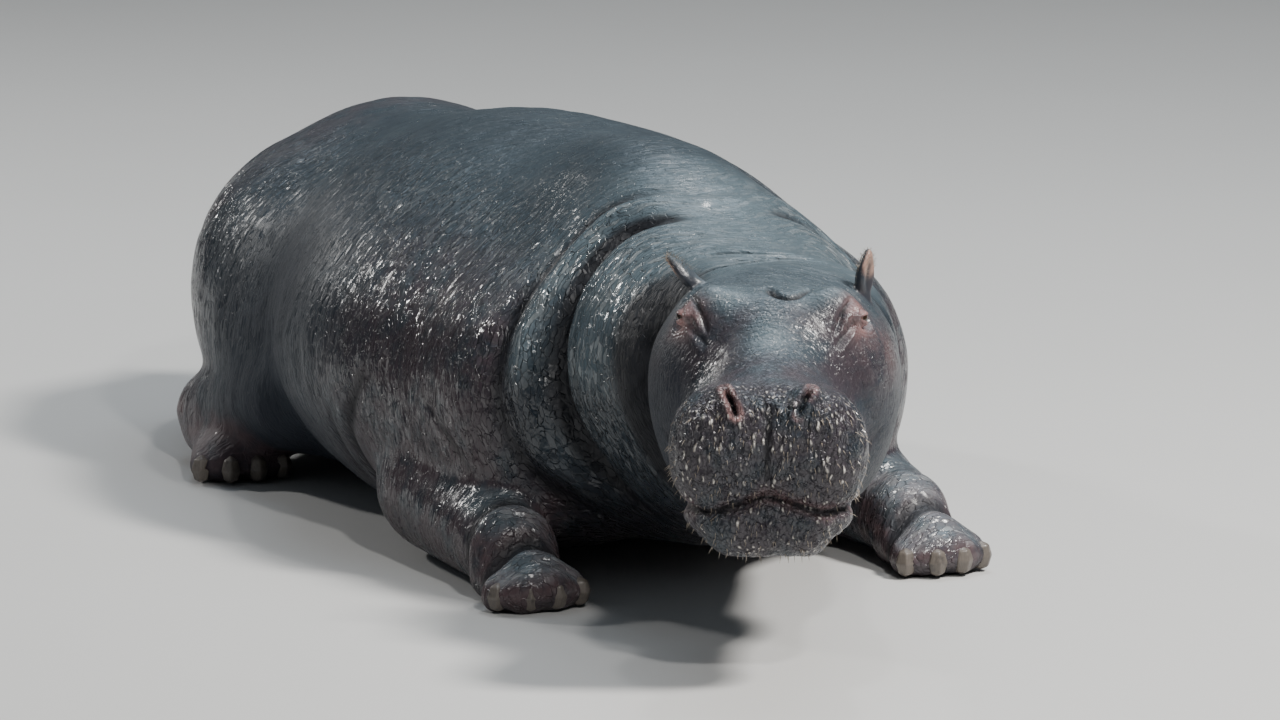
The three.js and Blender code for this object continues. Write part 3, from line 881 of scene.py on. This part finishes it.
def trunk_uv(points):
    """Round and along the body."""
    low, high = (np.array(corner) for corner in cad_box)
    turn = np.arctan2(points[:, 1], points[:, 2] - SPINE_HEIGHT) / (2 * np.pi)
    return np.stack([(points[:, 0] - low[0]) / (high[0] - low[0]) * 0.96 + 0.02, turn * 0.96 + 0.5], 1)


MUZZLE_TUFTS = 300
EAR_TUFTS = 150
TAIL_TUFTS = 140


def muzzle_bristles(skin):
    """Short stiff hairs on the front of the muzzle, with a few on the chin."""
    chance = np.random.default_rng(21)
    h = in_head(read(skin))
    slit, _ = stroke(np.stack([h[:, 0], np.abs(h[:, 1]), h[:, 2]], 1), NOSTRIL)
    front = step(0.30, 0.42, h[:, 0]) * (1 - step(-0.14, -0.08, h[:, 2])) * (slit > 0.02)
    chin = step(0.24, 0.34, h[:, 0]) * (1 - step(-0.40, -0.36, h[:, 2])) * 0.15
    weight = (front + chin) * (np.abs(h[:, 1]) > 0.012)
    chosen = pick(chance, weight, MUZZLE_TUFTS)
    direction = HEAD_FORWARD * 0.1 - HEAD_UP * 0.9 + chance.normal(size=(MUZZLE_TUFTS, 3)) * 0.2
    lengths = chance.uniform(0.008, 0.020, MUZZLE_TUFTS)
    return bristles("muzzle_bristles", skin, chosen, direction, lengths, 0.0011, muzzle_uv)


def ear_fringe(skin, side_name):
    """Fine hair round the top of an ear."""
    chance = np.random.default_rng(31 + SIDES[side_name])
    points, normal = read(skin), read(skin, "normal")
    low, high = (np.array(corner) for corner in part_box(f"ear_{side_name}"))
    up = (points[:, 2] - low[2]) / (high - low)[2]
    on_ear = near_node(points, f"ear_{side_name}", 0.003) * step(0.45, 0.8, up)
    facing = normal @ HEAD_FORWARD
    weight = on_ear * bell(facing - 0.3, 0.5)
    chosen = pick(chance, weight, EAR_TUFTS)
    direction = HEAD_UP * 0.5 + HEAD_FORWARD * 0.25 + chance.normal(size=(EAR_TUFTS, 3)) * 0.3
    lengths = chance.uniform(0.006, 0.014, EAR_TUFTS)
    return bristles(f"ear_fringe_{side_name}", skin, chosen, direction, lengths, 0.0004, trunk_uv)


def tail_bristles(skin):
    """Coarse hairs that hang from the end of the tail."""
    chance = np.random.default_rng(41)
    points = read(skin)
    low, high = (np.array(corner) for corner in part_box("tail"))
    down = (high[2] - points[:, 2]) / (high - low)[2]
    behind = points[:, 0] < low[0] + 0.09
    weight = near_node(points, "tail", 0.004) * step(0.6, 0.85, down) * behind
    chosen = pick(chance, weight, TAIL_TUFTS)
    direction = -HEAD_UP * 1.1 + chance.normal(size=(TAIL_TUFTS, 3)) * 0.2
    lengths = chance.uniform(0.02, 0.045, TAIL_TUFTS)
    return bristles("tail_bristles", skin, chosen, direction, lengths, 0.0006, trunk_uv)


# ---- materials -------------------------------------------------------------------------------

class Wire:
    """A value in a material, for use in sums."""

    def __init__(self, paint, socket):
        self.paint, self.socket = paint, socket

    def _do(self, operation, *values):
        return self.paint.node("ShaderNodeMath", {"operation": operation}, dict(enumerate(values)))

    def __add__(self, other):
        return self._do("ADD", self, other)

    def __radd__(self, other):
        return self._do("ADD", other, self)

    def __sub__(self, other):
        return self._do("SUBTRACT", self, other)

    def __rsub__(self, other):
        return self._do("SUBTRACT", other, self)

    def __mul__(self, other):
        return self._do("MULTIPLY", self, other)

    def __rmul__(self, other):
        return self._do("MULTIPLY", other, self)

    def between(self, low, high):
        """0 below low, 1 above high, smooth between."""
        settings = {"interpolation_type": "SMOOTHSTEP"}
        values = {"Value": self, "From Min": low, "From Max": high}
        return self.paint.node("ShaderNodeMapRange", settings, values)


class Paint:
    """A material made node by node."""

    def __init__(self, name):
        self.material = bpy.data.materials.new(name)
        self.material.use_nodes = True
        self.tree = self.material.node_tree
        self.shader = next(n for n in self.tree.nodes if n.type == "BSDF_PRINCIPLED")

    def node(self, kind, settings=None, values=None, output=0):
        made = self.tree.nodes.new(kind)
        for key, value in (settings or {}).items():
            setattr(made, key, value)
        for key, value in (values or {}).items():
            self.feed(made.inputs[key], value)
        return Wire(self, made.outputs[output])

    def feed(self, socket, value):
        if isinstance(value, Wire):
            self.tree.links.new(value.socket, socket)
        elif isinstance(value, tuple) and len(value) == 3 and socket.type == "RGBA":
            socket.default_value = (*value, 1)
        else:
            socket.default_value = value

    def set(self, **values):
        for key, value in values.items():
            self.feed(self.shader.inputs[key.replace("_", " ")], value)

    def place(self):
        return self.node("ShaderNodeTexCoord", output="Object")

    def mark(self, name, output="Fac"):
        return self.node("ShaderNodeAttribute", {"attribute_name": name}, output=output)

    def stretch(self, vector, scale):
        settings = {"operation": "MULTIPLY"}
        return self.node("ShaderNodeVectorMath", settings, {0: vector, 1: scale}, output="Vector")

    def shift(self, vector, other):
        settings = {"operation": "ADD"}
        return self.node("ShaderNodeVectorMath", settings, {0: vector, 1: other}, output="Vector")

    def noise(self, vector, scale, detail=3.0, rough=0.55, output="Fac"):
        values = {"Vector": vector, "Scale": scale, "Detail": detail, "Roughness": rough}
        return self.node("ShaderNodeTexNoise", None, values, output=output)

    def cells(self, vector, feature="F1"):
        values = {"Vector": vector, "Scale": 1.0}
        return self.node("ShaderNodeTexVoronoi", {"feature": feature}, values, output="Distance")

    def flakes(self, vector, groove):
        """Flat flakes, each tipped its own way, the grooves between them, and a shade for each."""
        place = self.node("ShaderNodeTexVoronoi", None, {"Vector": vector, "Scale": 1.0}, output="Position")
        shade = Wire(self, place.socket.node.outputs["Color"])
        less, dot = {"operation": "SUBTRACT"}, {"operation": "DOT_PRODUCT"}
        away = self.node("ShaderNodeVectorMath", less, {0: vector, 1: place}, output="Vector")
        tip = self.node("ShaderNodeVectorMath", less, {0: shade, 1: (0.5, 0.5, 0.5)}, output="Vector")
        slope = self.node("ShaderNodeVectorMath", dot, {0: away, 1: tip}, output="Value")
        flat = self.cells(vector, "DISTANCE_TO_EDGE").between(0.0, groove)
        return slope * flat, flat, shade

    def mix(self, factor, a, b):
        made = self.tree.nodes.new("ShaderNodeMix")
        made.data_type = "RGBA"
        self.feed(made.inputs[0], factor)
        self.feed(made.inputs[6], a)
        self.feed(made.inputs[7], b)
        return Wire(self, made.outputs[2])

    def bump(self, height, distance, strength):
        values = {"Height": height, "Distance": distance, "Strength": strength}
        return self.node("ShaderNodeBump", None, values, output="Normal")


SLATE = (0.028, 0.041, 0.053)
SLATE_DARK = (0.013, 0.020, 0.029)
BROWN = (0.046, 0.029, 0.036)
LIP_AND_SHADE_BLUE = (0.003, 0.009, 0.021)
PALE_AND_SHEEN = (0.125, 0.172, 0.200)
PINK = (0.40, 0.215, 0.20)
ROSY = (0.52, 0.32, 0.25)
CREASE_SHADE = (0.006, 0.006, 0.010)
FLAKE_HIGHLIGHT = (0.20, 0.20, 0.21)
PAINTED_GLINT = (0.34, 0.37, 0.38)
CREAM_AND_GLINT = (0.78, 0.74, 0.68)


def hide():
    """Wet hide: slate with brown and pink, in small flat flakes that each catch the light their own way.

    The flakes run in rings round the body and stand upright on the head. On the front of the muzzle there
    are pale pads too, partly painted glints. Painted shade darkens the creases, hollows, the underside of
    the cheeks and the rear flank, and painted sheen, highlights and glints lighten the tops, the neck rolls
    and some flakes.
    """
    p = Paint("hide")
    at = p.place()
    lie = p.mark("lie", "Vector")
    head, grain, crease_shade = p.mark("head"), p.mark("grain"), p.mark("crease_shade")
    pink, brown, pale_and_painted_sheen, front = p.mark("pink"), p.mark("brown"), p.mark("pale_and_painted_sheen"), p.mark("front")
    blue_and_painted_shade, rosy = p.mark("blue_and_painted_shade"), p.mark("rosy")

    wander = p.noise(at, 9.0, 2.0, output="Color")
    jitter = p.noise(at, 55.0, 1.0, output="Color")
    bent = p.shift(lie, p.stretch(wander, (0.03, 0.03, 0.03)))
    bent = p.shift(bent, p.stretch(jitter, (0.007, 0.016, 0.016)))
    curled = p.shift(at, p.stretch(jitter, (0.010, 0.010, 0.010)))
    flake, plateau, shade = p.flakes(p.stretch(bent, (135.0, 36.0, 36.0)), 0.10)
    stud, bead, tone = p.flakes(p.stretch(curled, (118.0, 118.0, 60.0)), 0.14)
    fine = p.cells(p.stretch(bent, (250.0, 80.0, 80.0)))
    pads = p.cells(p.stretch(curled, (72.0, 72.0, 27.0)))
    folds = p.noise(p.stretch(bent, (52.0, 10.0, 10.0)), 1.0, 2.0)
    patches = p.noise(at, 3.4, 4.0)
    blotch = p.noise(at, 14.0, 5.0, 0.6)

    base = p.mix(patches.between(0.36, 0.66), SLATE, SLATE_DARK)
    base = p.mix(brown * blotch.between(0.28, 0.60), base, BROWN)
    # painted sheen on upward faces, the domes and the neck rolls; pale skin on the brow
    base = p.mix(pale_and_painted_sheen * (0.45 + 0.55 * patches), base, PALE_AND_SHEEN)
    # painted shade in darkest slate blue, with a little slate blue on the lips
    base = p.mix(blue_and_painted_shade * (0.7 + 0.3 * patches), base, LIP_AND_SHADE_BLUE)
    # painted highlight: some flakes lighter, at random
    base = p.mix(grain * shade * (0.14 - 0.11 * blue_and_painted_shade), base, FLAKE_HIGHLIGHT)
    # painted glints on some flakes where the hide is pale and sheened
    base = p.mix(grain * pale_and_painted_sheen * shade.between(0.50, 0.85) * 0.6, base, PAINTED_GLINT)
    # painted shade in the grooves between the flakes
    base = p.mix(grain * (1 - plateau) * 0.34, base, CREASE_SHADE)
    base = p.mix(pink * blotch.between(0.24, 0.66), base, PINK)
    base = p.mix(rosy * (0.5 + 0.5 * blotch), base, ROSY)
    # painted shade in creases, slits, ear hollows, the neck's hollow and near the floor
    base = p.mix(crease_shade * 0.88, base, CREASE_SHADE)
    # painted shade in the grooves between the beads
    base = p.mix((0.08 * head + 0.14 * front) * (1 - bead), base, CREASE_SHADE)
    # painted highlight on some beads, at random
    base = p.mix((0.04 * head + 0.06 * front) * tone, base, FLAKE_HIGHLIGHT)
    # cream pads on the muzzle's front, partly painted glints
    base = p.mix(front * (1 - pads.between(0.04, 0.30)) * blotch.between(0.36, 0.56), base, CREAM_AND_GLINT)

    wet = blotch.between(0.30, 0.75)
    rough = 0.14 + 0.08 * wet + 0.18 * (1 - grain) * (1 - head) + 0.35 * crease_shade + 0.45 * blue_and_painted_shade

    height = 0.0030 * folds + grain * (0.0105 * flake + 0.0010 * plateau)
    height += (0.15 + 0.85 * head) * (0.0050 * stud + 0.0006 * bead) + front * (0.0095 * stud)
    height += 0.0002 * (1 - fine.between(0.0, 0.7)) + (0.0001 + 0.0012 * head) * p.noise(at, 150.0, 3.0)
    height += 0.0060 * front * (1 - pads.between(0.0, 0.55))
    skin = p.bump(height, 1.0, 1.0)
    smooth = (1 - grain) * (1 - head)
    p.set(Base_Color=base, Roughness=rough, Coat_Weight=0.6 * smooth * wet * pale_and_painted_sheen, Normal=skin)
    p.set(Coat_Roughness=0.12, Coat_IOR=1.4, Specular_IOR_Level=0.5)
    return p.material


def wet_eye():
    """Brown iris with a wide pupil, a dark ring and a rosy white."""
    p = Paint("eye")
    out, pupil = p.mark("out"), p.mark("pupil")
    rays = p.noise(p.place(), 900.0, 3.0)
    iris = p.mix(rays, (0.012, 0.006, 0.004), (0.038, 0.019, 0.010))
    white = p.mix(p.noise(p.place(), 260.0, 4.0), (0.16, 0.10, 0.085), (0.07, 0.04, 0.035))
    colour = p.mix(out.between(0.52, 0.58), iris, (0.012, 0.008, 0.006))
    colour = p.mix(out.between(0.60, 0.68), colour, white)
    colour = p.mix(1 - pupil.between(0.10, 0.125), colour, (0.003, 0.003, 0.003))
    p.set(Base_Color=colour, Roughness=0.10)
    p.set(Coat_Weight=0.25, Coat_Roughness=0.02)
    return p.material


def nail_horn():
    """Dull horn with fine upright streaks and darker clouds."""
    p = Paint("nail")
    at = p.place()
    streaks = p.noise(p.stretch(at, (420.0, 420.0, 26.0)), 1.0, 3.0)
    cloud = p.noise(at, 46.0, 3.0)
    colour = p.mix(streaks, (0.085, 0.070, 0.060), (0.19, 0.165, 0.14))
    colour = p.mix(cloud.between(0.5, 0.8), colour, (0.055, 0.048, 0.045))
    p.set(Base_Color=colour, Roughness=0.38 + 0.2 * cloud)
    p.set(Normal=p.bump(streaks, 0.0012, 0.5), Coat_Weight=0.3, Coat_Roughness=0.2)
    return p.material


def bristle_hair():
    p = Paint("bristle")
    cloud = p.noise(p.place(), 80.0, 2.0)
    p.set(Base_Color=p.mix(cloud, (0.16, 0.13, 0.10), (0.46, 0.40, 0.33)), Roughness=0.28)
    p.set(Coat_Weight=0.5, Coat_Roughness=0.1)
    return p.material


def floor_finish():
    p = Paint("floor")
    cloud = p.noise(p.place(), 0.7, 4.0)
    p.set(Base_Color=p.mix(cloud, (0.60, 0.60, 0.59), (0.64, 0.64, 0.63)), Roughness=0.75)
    return p.material


# ---- floor, light and camera -----------------------------------------------------------------

VIEW_AZIMUTH = math.radians(67)
VIEW_ELEVATION = math.radians(10.6)
VIEW_DISTANCE = 21.0
AIM = Vector(HEAD_AT) + Vector((0.3045, -0.438, 0.001))
LENS = 280.5
forward = Vector((
    -math.sin(VIEW_AZIMUTH) * math.cos(VIEW_ELEVATION),
    math.cos(VIEW_AZIMUTH) * math.cos(VIEW_ELEVATION),
    -math.sin(VIEW_ELEVATION),
))
right = Vector((math.cos(VIEW_AZIMUTH), math.sin(VIEW_AZIMUTH), 0))
upright = right.cross(forward)


def camera():
    data = bpy.data.cameras.new("camera")
    data.lens, data.sensor_width = LENS, 36
    data.clip_end = 200
    made = bpy.data.objects.new("camera", data)
    made.location = AIM - forward * VIEW_DISTANCE
    made.rotation_mode = "QUATERNION"
    made.rotation_quaternion = forward.to_track_quat("-Z", "Y")
    bpy.context.scene.collection.objects.link(made)
    bpy.context.scene.camera = made


def softbox(name, offset, size, power, colour):
    """A square light seen from the animal at offset: to the right, up and towards the camera."""
    middle_of_body = Vector((0.3, 0, 0.45))
    data = bpy.data.lights.new(name, "AREA")
    data.size, data.energy, data.color = size, power, colour
    made = bpy.data.objects.new(name, data)
    made.location = middle_of_body + right * offset[0] + Vector((0, 0, offset[1])) - forward * offset[2]
    made.rotation_mode = "QUATERNION"
    made.rotation_quaternion = (middle_of_body - made.location).to_track_quat("-Z", "Y")
    bpy.context.scene.collection.objects.link(made)


SPARK_SIZE = 0.5  # small lights, seen in the wet hide as bright specks
SPARK_WHITE = (1.0, 0.98, 0.95)


def studio():
    bpy.ops.object.select_all(action="DESELECT")
    bpy.ops.mesh.primitive_plane_add(size=90, location=(0, 0, 0))
    floor = bpy.context.active_object
    floor.name = "floor"
    floor.data.materials.append(floor_finish())
    softbox("key", (5.4, 6.8, 2.6), 1.5, 1250, (1.0, 0.965, 0.92))
    softbox("left_spark", (-6.4, 4.7, -5.2), SPARK_SIZE, 215, SPARK_WHITE)
    softbox("front_spark", (2.0, 4.6, 7.0), SPARK_SIZE, 250, SPARK_WHITE)
    softbox("top_spark", (0.8, 8.0, -2.6), SPARK_SIZE, 90, SPARK_WHITE)
    softbox("sky", (0.8, 8.4, -3.9), 6.5, 270, (0.76, 0.88, 1.0))
    softbox("fill", (-7.0, 3.0, 4.0), 5.0, 10, (0.82, 0.90, 1.0))
    world = bpy.data.worlds.new("studio")
    world.use_nodes = True
    background = world.node_tree.nodes["Background"]
    background.inputs["Color"].default_value = (0.72, 0.80, 0.88, 1)
    background.inputs["Strength"].default_value = 0.12
    bpy.context.scene.world = world


# ---- making it all ---------------------------------------------------------------------------

camera()
studio()
skin = hide_skin()
made = [skin]
for side_name, side in SIDES.items():
    made.append(eyeball(side_name, side))
    made.append(ear_fringe(skin, side_name))
    for which in ("fore", "hind"):
        made += [toenail(which, side_name, number) for number in range(1, 5)]
made.append(muzzle_bristles(skin))
made.append(tail_bristles(skin))
for piece in made:
    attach(piece, "root")
